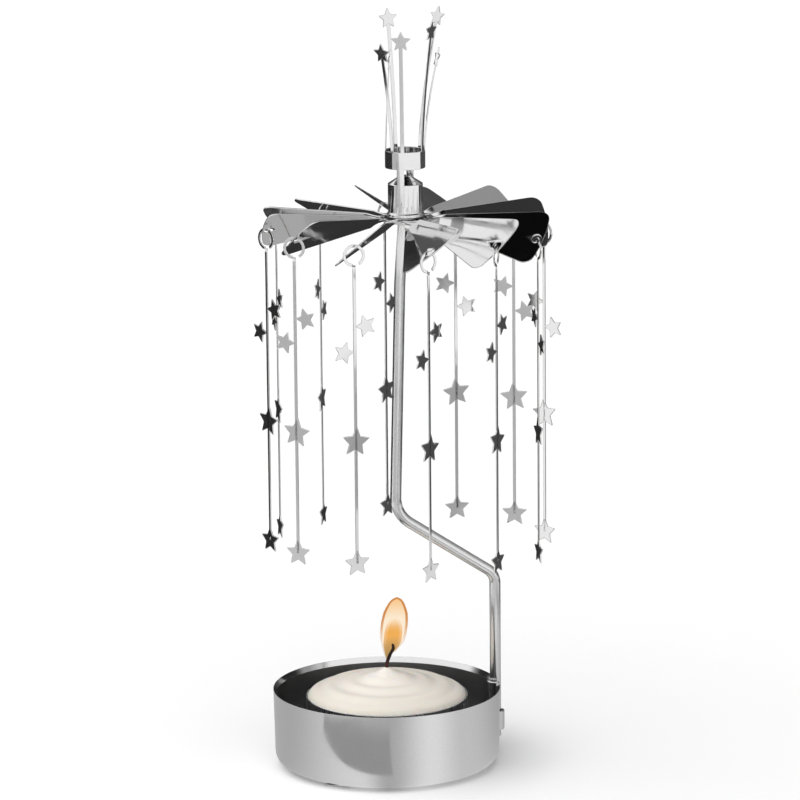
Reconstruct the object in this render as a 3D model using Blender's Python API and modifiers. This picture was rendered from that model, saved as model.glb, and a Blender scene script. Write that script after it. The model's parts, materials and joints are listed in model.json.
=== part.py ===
"""Spinning tealight carousel: a candle cup, a cranked wire post and a needle-borne star wheel.

The warm air above the candle turns a twelve-blade wheel that balances on the sharpened top
of the post.  A strand of stamped stars hangs from every blade, and a crown of stars stands
on the hub.  Metres, +Z up.  The origin is on the table, straight below the needle point.
The post stands at the right (+X) of the cup and the front is -Y.
"""
import math

import bmesh
import bpy
from mathutils import Matrix, Vector

# Fits between pieces
CLEARANCE = 0.0003          # gap between pieces that touch or slide
MERGE = 0.00001             # vertices closer than this are one

# Candle cup
CUP_OFFSET = 0.0054         # cup axis to needle axis
CUP_RADIUS = 0.0267         # outside, at the rim
CUP_TAPER = 0.0003          # radius lost from rim to base
CUP_HEIGHT = 0.0185         # rim above the table
CUP_WALL = 0.0005
CUP_CORNER = 0.0032         # outer radius round the base
FOOT_LIFT = 0.0008          # base above the table
FOOT_COUNT = 3
FOOT_RADIUS = 0.0016        # flat underside of a pressed foot
FOOT_FLARE = 0.0008         # growth of a foot up to the base
FOOT_INSET = 0.0018         # foot centre inside the edge of the flat base
FOOT_ANGLE = math.radians(238)

# Lanced socket in the cup wall that grips the post
STRAP_BOTTOM = 0.0064
STRAP_HEIGHT = 0.0046
LANCE_SLIT = 0.0006         # slit under the strap
LANCE_WINDOW = 0.0015       # opening above the strap
LOWER_SADDLE = 0.0016       # height of the saddle under the strap
SADDLE_DROP = 0.0002        # upper saddle's edge below the rim

# Post
ROD_RADIUS = 0.0013
POST_ANGLE = math.radians(12.5)
LOWER_BEND = 0.0442         # height where leg and ramp would meet
UPPER_BEND = 0.0602         # height where ramp and mast would meet
MAST_LEAN = 0.0030          # mast beside the needle's axis, at its bend
KINK_HEIGHT = 0.1150        # slight bend that brings the mast to the axis
KINK_LEAN = 0.0015          # mast beside the axis there
LOWER_BEND_RADIUS = 0.0042
UPPER_BEND_RADIUS = 0.0075
KINK_RADIUS = 0.0600
POINT_LENGTH = 0.0040
POINT_FLAT = 0.06           # blunt end, as a share of the rod
ROD_SIDES = 3               # facets in a quarter of the rod, less one

# Wheel
WHEEL_HEIGHT = 0.1305       # middle of the sheet above the table, at the hub
WHEEL_RADIUS = 0.0335
WHEEL_SHEET = 0.0003
BLADE_COUNT = 12
BLADE_START = math.radians(10.5)
# Pitch and droop of each blade in degrees; they are bent by hand and differ a little
BLADE_BENDS = (
    (37, 5.5), (37, 4.0), (33, 6.0), (37, 5.0), (29, 6.0), (33, 5.2),
    (37, 3.4), (37, 2.0), (41, 2.0), (37, 5.0), (37, 4.5), (37, 6.8),
)
BLADE_CORNER = 0.0022
BLADE_SLIT = 0.0005
WHEEL_RING = 0.0050         # uncut ring round the hub
NECK_LENGTH = 0.0036        # stretch over which a blade twists and bends down
EYE_RADIUS = 0.0011         # hole for a strand
EYE_INSET = 0.0015          # hole centre inside the tip
EYE_SHIFT = -0.0003         # hole centre from the blade's middle, low side negative

# Hub
HUB_RADIUS = 0.00405
HUB_HEIGHT = 0.0066         # straight side above its lip
HUB_LIP = 0.0003            # lip beyond the side
HUB_LIP_HEIGHT = 0.0010
HUB_CONE = 0.0018
HUB_NOSE = 0.0012           # flat on top of the cone
SPIGOT_RADIUS = 0.0027
FLANGE_RADIUS = 0.0039
FLANGE_HEIGHT = 0.0007
BORE_RADIUS = 0.0022
SEAT_DEPTH = 0.0011         # hollow cone over the point
SEAT_COVER = 0.0022         # metal between the seat and the nose

# Crown
BAND_SHEET = 0.0003
BAND_LIFT = 0.0037          # band above the straight side of the hub
BAND_HEIGHT = 0.0041
BAND_SEAM = math.radians(6)
BAND_SEAM_ANGLE = math.radians(96)
LEG_WIDTH = 0.0017
LEG_REACH = 0.0050          # legs overlap the hub by this much
LEG_ANGLE = math.radians(256)
STEM_WIDTH = 0.0009
STEM_SHEET = 0.00024
STEM_CURVE = 1.5            # how late a stem leans out
STEM_STEPS = 6
STEM_ROOT = 0.0012          # stem inside the band
CROWN_STAR = 0.0025
# For each stem: angle, star above the band, star from the axis
STEMS = (
    (math.radians(118), 0.0294, 0.0078),
    (math.radians(174), 0.0207, 0.0034),
    (math.radians(230), 0.0231, 0.0079),
    (math.radians(262), 0.0257, 0.0056),
    (math.radians(330), 0.0279, 0.0071),
    (math.radians(12), 0.0211, 0.0077),
    (math.radians(42), 0.0298, 0.0103),
)

# Strands
STRAND_SHEET = 0.0003
STRAND_TURN = math.radians(35)   # strand's face, turned from its blade
STRIP_WIDTH = 0.0007
RING_BORE = 0.0019               # inner radius of the split ring
RING_BAND = 0.00065
RING_SPLIT = math.radians(24)
RING_ROOT = math.radians(8)      # half of the ring's joint with the strip
MID_STAR_TURN = math.radians(12)
SIDE_STAR = 0.0027
MID_STAR = 0.0036
END_STAR = 0.00325
RIGHT_STAR_DROP = 0.0163         # below the middle of the ring
LEFT_STAR_DROP = 0.0221
MID_STAR_DROP = 0.0429
END_STAR_DROP = 0.0712
STAR_WAIST = 0.48                # inner corners, as a share of the points
# How far each strip is twisted below its ring, in degrees
STRAND_TWISTS = (5, 0, 0, 10, 0, 0, -5, -13, 9, 7, -15, 0)
TWIST_REACH = 0.0060             # stretch of strip that takes up the twist

# Tealight
TEALIGHT_RADIUS = 0.0190
TEALIGHT_HEIGHT = 0.0151
TEALIGHT_WALL = 0.0003
TEALIGHT_CORNER = 0.0016
WAX_MOUND = 0.0066               # risen wax above the rim
# The risen wax, as shares of its radius and its height
MOUND = ((0.10, 0.86), (0.22, 0.72), (0.40, 0.58), (0.60, 0.47), (0.78, 0.36), (0.92, 0.21), (0.98, 0.10))
WICK_RADIUS = 0.0007
WICK_END = 0.7                   # burnt end, as a share of the wick
WICK_RISE = 0.0057               # wick above the mound
# The bare wick, as shares of its width to the side and of its rise
WICK_CURL = ((0.12, 0.25), (0.75, 0.62), (0.95, 0.85), (0.80, 1.0))
TAB_RADIUS = 0.0065
TAB_SHEET = 0.0003
TAB_NECK = 0.0040                # crimped neck of the wick tab

# Facets
TURN_STEPS = 56
CANDLE_STEPS = 40
SMALL_STEPS = 28
FOOT_STEPS = 16
TWIST_STEPS = 4
BEND_STEPS = 7
EYE_STEPS = 10
INNER_STEPS = 3                  # round the inside of a pressed corner
OUTER_STEPS = 4                  # round the outside of a corner
RING_STEPS = 18                  # round the outside of a split ring
BORE_STEPS = 14                  # round its inside

# Places that follow from the sizes
SIDE_TOP = WHEEL_HEIGHT + WHEEL_SHEET / 2 + CLEARANCE + HUB_LIP_HEIGHT + HUB_HEIGHT
TWIST_START = WHEEL_RING + BLADE_SLIT
TWIST_END = TWIST_START + NECK_LENGTH
NOSE_TOP = SIDE_TOP + HUB_CONE
SEAT_TOP = NOSE_TOP - SEAT_COVER
POINT_TOP = SEAT_TOP - CLEARANCE
BASE_TOP = FOOT_LIFT + CUP_WALL
CUP_AXIS = Vector((-CUP_OFFSET, 0, 0))
BAND_RADIUS = HUB_RADIUS + CLEARANCE + BAND_SHEET / 2
BAND_BOTTOM = SIDE_TOP + BAND_LIFT
BAND_TOP = BAND_BOTTOM + BAND_HEIGHT

STEEL = ("chromed_steel", (0.72, 0.72, 0.73, 1), 0.08, 1.0)
ALUMINIUM = ("tealight_aluminium", (0.80, 0.80, 0.81, 1), 0.30, 1.0)
WAX = ("ivory_wax", (0.88, 0.83, 0.74, 1), 0.45, 0.0)
WICK = ("burnt_wick", (0.05, 0.03, 0.02, 1), 0.90, 0.0)


def clear_scene():
    for old in list(bpy.data.objects):
        bpy.data.objects.remove(old, do_unlink=True)


def new_collection(name):
    collection = bpy.data.collections.new(name)
    bpy.context.scene.collection.children.link(collection)
    return collection


def finish(name, colour, roughness, metallic):
    """A material, made once and then shared by name."""
    found = bpy.data.materials.get(name)
    if found:
        return found
    made = bpy.data.materials.new(name)
    made.use_nodes = True
    shader = made.node_tree.nodes["Principled BSDF"]
    shader.inputs["Base Color"].default_value = colour
    shader.inputs["Roughness"].default_value = roughness
    shader.inputs["Metallic"].default_value = metallic
    return made


def add_object(name, mesh):
    made = bpy.data.objects.new(name, mesh)
    PARTS.objects.link(made)
    return made


def mesh_of(bm, name):
    mesh = bpy.data.meshes.new(name)
    bm.to_mesh(mesh)
    bm.free()
    return mesh


def bake(piece):
    """Replace an object's mesh by what its modifiers make of it."""
    graph = bpy.context.evaluated_depsgraph_get()
    mesh = bpy.data.meshes.new_from_object(piece.evaluated_get(graph))
    piece.modifiers.clear()
    piece.data = mesh
    return piece


def combine(piece, tool_mesh, operation):
    """Join a closed mesh to a piece, or cut it away."""
    tool = add_object("tool", tool_mesh)
    boolean = piece.modifiers.new("boolean", "BOOLEAN")
    boolean.operation = operation
    boolean.object = tool
    bake(piece)
    bpy.data.objects.remove(tool, do_unlink=True)
    return piece


def dress(piece, look, parent):
    """Give a piece its material, its smooth shading and the body it belongs to."""
    piece.data.materials.clear()
    piece.data.materials.append(finish(*look))
    piece.data.shade_smooth()
    piece.data.set_sharp_from_angle(angle=math.radians(35))
    piece.parent = parent
    return piece


def axis_empty(name, place, parent=None):
    empty = bpy.data.objects.new(name, None)
    PARTS.objects.link(empty)
    empty.location = place
    empty.parent = parent
    return empty


def arc(centre, radius, start, end, steps):
    """Points round part of a circle, both ends included."""
    turns = [start + (end - start) * i / steps for i in range(steps + 1)]
    return [(centre[0] + radius * math.cos(a), centre[1] + radius * math.sin(a)) for a in turns]


def turned(name, profile, steps, closed=False):
    """Revolve (radius, height) points about Z; the outer side runs from top to bottom."""
    bm = bmesh.new()
    rims = [bm.verts.new((r, 0, z)) for r, z in profile]
    for a, b in zip(rims, rims[1:]):
        bm.edges.new((a, b))
    if closed:
        bm.edges.new((rims[-1], rims[0]))
    piece = add_object(name, mesh_of(bm, name))
    screw = piece.modifiers.new("turn", "SCREW")
    screw.steps = steps
    screw.render_steps = steps
    screw.use_merge_vertices = True
    screw.merge_threshold = MERGE
    return bake(piece)


def cone_mesh(bottom_radius, top_radius, low, high, place, steps):
    """A round plug from one height to another."""
    bm = bmesh.new()
    bmesh.ops.create_cone(bm, cap_ends=True, segments=steps, radius1=bottom_radius,
                          radius2=top_radius, depth=high - low)
    bmesh.ops.translate(bm, verts=bm.verts, vec=Vector((place[0], place[1], (low + high) / 2)))
    return mesh_of(bm, "plug")


def plate_mesh(outlines, thickness):
    """A flat sheet in the XY plane; outlines inside the first one are holes."""
    curve = bpy.data.curves.new("outline", "CURVE")
    curve.dimensions = "2D"
    curve.fill_mode = "BOTH"
    curve.extrude = thickness / 2
    for outline in outlines:
        spline = curve.splines.new("POLY")
        spline.points.add(len(outline) - 1)
        for point, (x, y) in zip(spline.points, outline):
            point.co = (x, y, 0, 1)
        spline.use_cyclic_u = True
    drawn = add_object("outline", curve)
    graph = bpy.context.evaluated_depsgraph_get()
    mesh = bpy.data.meshes.new_from_object(drawn.evaluated_get(graph))
    bpy.data.objects.remove(drawn, do_unlink=True)
    bm = bmesh.new()
    bm.from_mesh(mesh)
    bmesh.ops.remove_doubles(bm, verts=bm.verts, dist=MERGE)
    bmesh.ops.recalc_face_normals(bm, faces=bm.faces)
    bm.to_mesh(mesh)
    bm.free()
    return mesh


def moved(mesh, matrix):
    mesh.transform(matrix)
    return mesh


def star_outline(radius, turn, middle=(0, 0)):
    """Five points, one of them in the direction of turn."""
    outline = []
    for i in range(10):
        reach = radius if i % 2 == 0 else radius * STAR_WAIST
        angle = turn + i * math.pi / 5
        outline.append((middle[0] + reach * math.cos(angle), middle[1] + reach * math.sin(angle)))
    return outline


# Candle cup and post

def post_place():
    """The middle of the leg on plan: on the middle of the cup's wall."""
    reach = CUP_RADIUS - CUP_TAPER / 2 - CUP_WALL / 2
    return CUP_AXIS + Vector((math.cos(POST_ANGLE), math.sin(POST_ANGLE), 0)) * reach


def cup_profile():
    low_radius = CUP_RADIUS - CUP_TAPER
    inner_corner = CUP_CORNER - CUP_WALL
    middle = (low_radius - CUP_CORNER, FOOT_LIFT + CUP_CORNER)
    inside = arc(middle, inner_corner, -math.pi / 2, 0, INNER_STEPS)
    outside = arc(middle, CUP_CORNER, 0, -math.pi / 2, OUTER_STEPS)
    rim = [(CUP_RADIUS - CUP_WALL, CUP_HEIGHT), (CUP_RADIUS, CUP_HEIGHT)]
    return [(0, BASE_TOP)] + inside + rim + outside + [(0, FOOT_LIFT)]


def half_round(low, high, outwards):
    """Half of a plug round the post, on the inside or the outside of the cup's wall."""
    place = post_place()
    away = (place - CUP_AXIS).normalized()
    radius = ROD_RADIUS + CLEARANCE + CUP_WALL
    bm = bmesh.new()
    bm.from_mesh(cone_mesh(radius, radius, low, high, place, SMALL_STEPS))
    cut = bmesh.ops.bisect_plane(bm, geom=bm.verts[:] + bm.edges[:] + bm.faces[:], dist=MERGE,
                                 plane_co=place, plane_no=away if outwards else -away,
                                 clear_inner=True)
    rim = [e for e in cut["geom_cut"] if isinstance(e, bmesh.types.BMEdge)]
    bmesh.ops.edgeloop_fill(bm, edges=rim)
    bmesh.ops.recalc_face_normals(bm, faces=bm.faces)
    return mesh_of(bm, "half")


def socket_bottom():
    return STRAP_BOTTOM - LANCE_SLIT - LOWER_SADDLE


def build_cup(parent):
    """A drawn dish on pressed feet, with a strap and two saddles lanced for the post."""
    cup = turned("candle_cup", cup_profile(), TURN_STEPS)
    cup.data.transform(Matrix.Translation(CUP_AXIS))
    foot_circle = CUP_RADIUS - CUP_TAPER - CUP_CORNER - FOOT_INSET
    for i in range(FOOT_COUNT):
        angle = FOOT_ANGLE + math.tau * i / FOOT_COUNT
        place = CUP_AXIS + Vector((math.cos(angle), math.sin(angle), 0)) * foot_circle
        wide = FOOT_RADIUS + FOOT_FLARE
        boss = cone_mesh(FOOT_RADIUS, wide, 0, FOOT_LIFT + CUP_WALL / 2, place, FOOT_STEPS)
        combine(cup, boss, "UNION")
        hollow = cone_mesh(FOOT_RADIUS - CUP_WALL, wide - CUP_WALL, CUP_WALL,
                           BASE_TOP + CUP_WALL, place, FOOT_STEPS)
        combine(cup, hollow, "DIFFERENCE")
    strap_top = STRAP_BOTTOM + STRAP_HEIGHT
    low_saddle_bottom = socket_bottom() - CUP_WALL
    combine(cup, half_round(STRAP_BOTTOM, strap_top, True), "UNION")
    combine(cup, half_round(low_saddle_bottom, STRAP_BOTTOM - LANCE_SLIT, False), "UNION")
    combine(cup, half_round(strap_top + LANCE_WINDOW, CUP_HEIGHT - SADDLE_DROP, False), "UNION")
    groove = ROD_RADIUS + CLEARANCE
    channel = cone_mesh(groove, groove, socket_bottom(), CUP_HEIGHT + CUP_WALL, post_place(), SMALL_STEPS)
    combine(cup, channel, "DIFFERENCE")
    return dress(cup, STEEL, parent)


def bend(before, corner, after, radius, steps):
    """Points round a wire bend of the given radius, in place of a sharp corner."""
    back = (before - corner).normalized()
    ahead = (after - corner).normalized()
    half = back.angle(ahead) / 2
    middle = corner + (back + ahead).normalized() * (radius / math.sin(half))
    start = corner + back * (radius / math.tan(half)) - middle
    turn = math.pi - 2 * half
    axis = start.cross(-back).normalized()
    return [middle + Matrix.Rotation(turn * i / steps, 3, axis) @ start for i in range(steps + 1)]


def wire(name, points, radii, thickness, sides):
    """A round wire through points, with its thickness scaled at each of them."""
    curve = bpy.data.curves.new(name, "CURVE")
    curve.dimensions = "3D"
    curve.bevel_depth = thickness
    curve.bevel_resolution = sides
    curve.use_fill_caps = True
    spline = curve.splines.new("POLY")
    spline.points.add(len(points) - 1)
    for point, place, scale in zip(spline.points, points, radii):
        point.co = (*place, 1)
        point.radius = scale
    drawn = add_object(name + "_line", curve)
    graph = bpy.context.evaluated_depsgraph_get()
    mesh = bpy.data.meshes.new_from_object(drawn.evaluated_get(graph))
    bpy.data.objects.remove(drawn, do_unlink=True)
    bm = bmesh.new()
    bm.from_mesh(mesh)
    bmesh.ops.remove_doubles(bm, verts=bm.verts, dist=MERGE)
    bm.to_mesh(mesh)
    bm.free()
    return add_object(name, mesh)


def build_post(parent):
    """One wire: leg in the cup's socket, ramp to the middle, mast to a needle point."""
    foot = post_place() + Vector((0, 0, socket_bottom() + CLEARANCE))
    knee = Vector((foot.x, foot.y, LOWER_BEND))
    neck = Vector((-MAST_LEAN, 0, UPPER_BEND))
    kink = Vector((-KINK_LEAN, 0, KINK_HEIGHT))
    tip = Vector((0, 0, POINT_TOP))
    shoulder = tip + (kink - tip).normalized() * POINT_LENGTH
    path = [foot]
    path += bend(foot, knee, neck, LOWER_BEND_RADIUS, BEND_STEPS)
    path += bend(knee, neck, kink, UPPER_BEND_RADIUS, BEND_STEPS)
    path += bend(neck, kink, tip, KINK_RADIUS, INNER_STEPS)
    path += [shoulder, tip]
    radii = [1.0] * (len(path) - 1) + [POINT_FLAT]
    return dress(wire("post", path, radii, ROD_RADIUS, ROD_SIDES), STEEL, parent)


# Wheel, hub and crown

def blade_edge(x):
    """A point on a blade's straight side, half a slit from its neighbour's border."""
    half = math.pi / BLADE_COUNT
    return (x, x * math.tan(half) - BLADE_SLIT / 2 / math.cos(half))


def mirrored(upper):
    """Close a half outline with its reflection below the X axis."""
    return upper + [(x, -y) for x, y in reversed(upper)]


def ring_outline_share():
    """One twelfth of the wheel's uncut ring, with the neck that carries a blade."""
    half = math.pi / BLADE_COUNT
    bore = arc((0, 0), SPIGOT_RADIUS + CLEARANCE, 0, half, 2)[1:]
    slit_end = (WHEEL_RING * math.cos(half), WHEEL_RING * math.sin(half))
    return mirrored(bore + [slit_end, blade_edge(TWIST_START), blade_edge(TWIST_END)])


def blade_outline():
    """A blade from its neck to its tip, with rounded corners."""
    half = math.pi / BLADE_COUNT
    side = Vector((math.cos(half), math.sin(half)))
    inward = Vector((math.sin(half), -math.cos(half)))
    # The corner's circle touches the slit's edge and the tip's circle
    edge_gap = BLADE_SLIT / 2 + BLADE_CORNER
    reach = math.sqrt((WHEEL_RADIUS - BLADE_CORNER) ** 2 - edge_gap ** 2)
    middle = side * reach + inward * edge_gap
    start = math.atan2(-inward.y, -inward.x)
    end = math.atan2(middle.y, middle.x)
    corner = arc(middle, BLADE_CORNER, start, end, OUTER_STEPS)
    tip = arc((0, 0), WHEEL_RADIUS, end, 0, 2)[1:-1]
    return mirrored([blade_edge(TWIST_END)] + corner + tip)


def eye_place():
    """The strand's hole, as distance from the axis and shift from the blade's middle."""
    return Vector((math.sqrt(WHEEL_RADIUS ** 2 - EYE_SHIFT ** 2) - EYE_INSET, EYE_SHIFT))


def blade_bend(number):
    """Pitch and droop of a blade."""
    return [math.radians(angle) for angle in BLADE_BENDS[number]]


def blade_point(flat, number):
    """Where a point of the flat blank goes when its neck is twisted and bent down."""
    pitch, droop = blade_bend(number)
    share = min(max((flat.x - TWIST_START) / NECK_LENGTH, 0), 1)
    root = Vector((TWIST_START, 0, 0))
    twisted = Matrix.Rotation(pitch * share, 3, "X") @ (flat - root)
    return root + Matrix.Rotation(droop * share, 3, "Y") @ twisted


def cut_blade():
    """One twelfth of the flat blank, cut across its neck where it is to bend."""
    blade = bmesh.new()
    eye = arc(eye_place(), EYE_RADIUS, 0, math.tau, EYE_STEPS)[:-1]
    blade.from_mesh(plate_mesh([blade_outline(), eye], 0))
    root = blade.faces.new([blade.verts.new((x, y, 0)) for x, y in ring_outline_share()])
    geometry = [root] + list(root.edges) + list(root.verts)
    for i in range(TWIST_STEPS):
        cut_at = TWIST_START + NECK_LENGTH * i / TWIST_STEPS
        cut = bmesh.ops.bisect_plane(blade, geom=geometry, dist=MERGE, plane_co=(cut_at, 0, 0),
                                     plane_no=(1, 0, 0))
        geometry = cut["geom"]
    bmesh.ops.remove_doubles(blade, verts=blade.verts, dist=MERGE)
    return mesh_of(blade, "blade")


def build_wheel(parent):
    """Twelve blades slit from one disc and twisted at their necks."""
    blade = cut_blade()
    disc = bmesh.new()
    for i in range(BLADE_COUNT):
        copy = blade.copy()
        for vert in copy.vertices:
            vert.co = blade_point(vert.co, i)
        copy.transform(Matrix.Rotation(BLADE_START + math.tau * i / BLADE_COUNT, 4, "Z"))
        disc.from_mesh(copy)
    bmesh.ops.remove_doubles(disc, verts=disc.verts, dist=MERGE)
    bmesh.ops.recalc_face_normals(disc, faces=disc.faces)
    wheel = add_object("rotor_wheel", mesh_of(disc, "rotor_wheel"))
    sheet = wheel.modifiers.new("sheet", "SOLIDIFY")
    sheet.thickness = WHEEL_SHEET
    sheet.offset = 0
    bake(wheel)
    wheel.location.z = WHEEL_HEIGHT - POINT_TOP
    return dress(wheel, STEEL, parent)


def build_hub(parent):
    """A turned cap: conical seat on the needle, and a spigot flared under the wheel."""
    sheet_top = WHEEL_HEIGHT + WHEEL_SHEET / 2 + CLEARANCE
    sheet_bottom = WHEEL_HEIGHT - WHEEL_SHEET / 2 - CLEARANCE
    lip_top = sheet_top + HUB_LIP_HEIGHT
    bottom = sheet_bottom - FLANGE_HEIGHT
    profile = [
        (0, SEAT_TOP),
        (BORE_RADIUS, SEAT_TOP - SEAT_DEPTH),
        (BORE_RADIUS, bottom),
        (FLANGE_RADIUS - FLANGE_HEIGHT / 2, bottom),
        (FLANGE_RADIUS, bottom + FLANGE_HEIGHT / 2),
        (FLANGE_RADIUS, sheet_bottom),
        (SPIGOT_RADIUS, sheet_bottom),
        (SPIGOT_RADIUS, sheet_top),
        (HUB_RADIUS + HUB_LIP, sheet_top),
        (HUB_RADIUS + HUB_LIP, lip_top - HUB_LIP),
        (HUB_RADIUS, lip_top),
        (HUB_RADIUS, SIDE_TOP),
        (HUB_NOSE, NOSE_TOP),
        (0, NOSE_TOP),
    ]
    hub = turned("pivot_hub", profile[::-1], SMALL_STEPS)
    hub.data.transform(Matrix.Translation((0, 0, -POINT_TOP)))
    return dress(hub, STEEL, parent)


def band_piece(start, end, low, high, steps):
    """Part of a rolled band, as a closed strip of sheet."""
    bm = bmesh.new()
    bmesh.ops.create_grid(bm, x_segments=steps, y_segments=1, size=0.5)
    for vert in bm.verts:
        angle = start + (end - start) * (vert.co.x + 0.5)
        height = low + (high - low) * (vert.co.y + 0.5)
        vert.co = (BAND_RADIUS * math.cos(angle), BAND_RADIUS * math.sin(angle), height)
    strip = add_object("strip", mesh_of(bm, "strip"))
    sheet = strip.modifiers.new("sheet", "SOLIDIFY")
    sheet.thickness = BAND_SHEET
    sheet.offset = 0
    mesh = bake(strip).data
    bpy.data.objects.remove(strip, do_unlink=True)
    return mesh


def stem_mesh(angle, rise, reach):
    """A ribbon that leaves the band upright and then leans away from the axis."""
    out = Vector((math.cos(angle), math.sin(angle), 0))
    across = Vector((-math.sin(angle), math.cos(angle), 0)) * (STEM_WIDTH / 2)
    bm = bmesh.new()
    bmesh.ops.create_grid(bm, x_segments=1, y_segments=STEM_STEPS, size=0.5)
    for vert in bm.verts:
        share = vert.co.y + 0.5
        height = BAND_TOP - STEM_ROOT + (rise + STEM_ROOT) * share
        lean = BAND_RADIUS + (reach - BAND_RADIUS) * share ** STEM_CURVE
        vert.co = out * lean + across * (2 * vert.co.x) + Vector((0, 0, height))
    ribbon = add_object("ribbon", mesh_of(bm, "ribbon"))
    sheet = ribbon.modifiers.new("sheet", "SOLIDIFY")
    sheet.thickness = STEM_SHEET
    sheet.offset = 0
    mesh = bake(ribbon).data
    bpy.data.objects.remove(ribbon, do_unlink=True)
    return mesh


def crown_star(angle, rise, reach):
    """A star facing outwards on the end of its stem, tilted with the stem."""
    tilt = math.atan2(STEM_CURVE * (reach - BAND_RADIUS), rise + STEM_ROOT)
    place = Vector((reach * math.cos(angle), reach * math.sin(angle), BAND_TOP + rise))
    stand = Matrix.Rotation(angle + math.pi / 2, 4, "Z") @ Matrix.Rotation(math.pi / 2 + tilt, 4, "X")
    star = plate_mesh([star_outline(CROWN_STAR, math.pi / 2)], BAND_SHEET)
    return moved(star, Matrix.Translation(place) @ stand)


def build_crown(parent):
    """A rolled band with two legs down the hub and star-tipped stems above."""
    seam_end = BAND_SEAM_ANGLE + BAND_SEAM / 2
    band = band_piece(seam_end, seam_end + math.tau - BAND_SEAM, BAND_BOTTOM, BAND_TOP, SMALL_STEPS)
    crown = add_object("star_crown", band)
    half_leg = LEG_WIDTH / 2 / BAND_RADIUS
    for angle in (LEG_ANGLE, LEG_ANGLE + math.pi):
        leg = band_piece(angle - half_leg, angle + half_leg, SIDE_TOP - LEG_REACH,
                         BAND_BOTTOM + BAND_HEIGHT / 2, 3)
        combine(crown, leg, "UNION")
    for stem in STEMS:
        combine(crown, stem_mesh(*stem), "UNION")
        combine(crown, crown_star(*stem), "UNION")
    crown.data.transform(Matrix.Translation((0, 0, -POINT_TOP)))
    return dress(crown, STEEL, parent)


# Strands

def ring_outline():
    """A split ring that leaves the strip and comes round to a small gap beside it."""
    outer = RING_BORE + RING_BAND
    first = -math.pi / 2 - RING_ROOT
    last = -math.pi / 2 + RING_ROOT - math.tau + RING_SPLIT
    middle = (0, -RING_BORE)
    return arc(middle, outer, first, last, RING_STEPS) + arc(middle, RING_BORE, last, first, BORE_STEPS)


def strand_mesh():
    """One stamped strip: split ring, two side stars, a middle star and an end star.

    It hangs in the XZ plane from the inner top of its ring, which is its origin.
    """
    ring_middle = -RING_BORE
    strip_top = ring_middle - RING_BORE - RING_BAND / 2
    strip_end = ring_middle - END_STAR_DROP
    half = STRIP_WIDTH / 2
    strip = [(-half, strip_top), (-half, strip_end), (half, strip_end), (half, strip_top)]
    outlines = [
        ring_outline(),
        star_outline(SIDE_STAR, math.pi, (SIDE_STAR, ring_middle - RIGHT_STAR_DROP)),
        star_outline(SIDE_STAR, 0, (-SIDE_STAR, ring_middle - LEFT_STAR_DROP)),
        star_outline(MID_STAR, MID_STAR_TURN, (0, ring_middle - MID_STAR_DROP)),
        star_outline(END_STAR, math.pi / 2, (0, ring_middle - END_STAR_DROP)),
    ]
    strand = add_object("strand", plate_mesh([strip], STRAND_SHEET))
    for outline in outlines:
        combine(strand, plate_mesh([outline], STRAND_SHEET), "UNION")
    mesh = strand.data
    bpy.data.objects.remove(strand, do_unlink=True)
    return moved(mesh, Matrix.Rotation(math.pi / 2, 4, "X"))


def strand_pivot(number):
    """Where the inner top of a strand's ring hangs over the bridge outside its hole."""
    blade_angle = BLADE_START + math.tau * number / BLADE_COUNT
    pitch, droop = blade_bend(number)
    face = blade_angle + STRAND_TURN
    # The strand's upright plane meets the blade along this line of the flat blank
    slope = math.sin(pitch) * math.tan(droop)
    outwards = math.tan(STRAND_TURN) * math.cos(pitch) / math.cos(droop) + slope
    bridge = eye_place() + Vector((outwards, -1)).normalized() * EYE_RADIUS
    place = Matrix.Rotation(blade_angle, 3, "Z") @ blade_point(bridge.to_3d(), number)
    place.z += WHEEL_HEIGHT + WHEEL_SHEET / 2 / math.cos(pitch) + CLEARANCE
    return place, face


def twisted(mesh, twist):
    """A copy of the strand with its strip twisted about its own line below the ring."""
    copy = mesh.copy()
    ring_bottom = -2 * RING_BORE - RING_BAND
    for vert in copy.vertices:
        share = min(max((ring_bottom - vert.co.z) / TWIST_REACH, 0), 1)
        vert.co = Matrix.Rotation(twist * share, 3, "Z") @ vert.co
    return copy


def build_strands(parent):
    mesh = strand_mesh()
    for i in range(BLADE_COUNT):
        place, face = strand_pivot(i)
        strand = add_object(f"star_strand_{i + 1:02d}", twisted(mesh, math.radians(STRAND_TWISTS[i])))
        strand.location = place - Vector((0, 0, POINT_TOP))
        strand.rotation_euler.z = face + math.pi / 2
        dress(strand, STEEL, parent)


# Tealight

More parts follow.
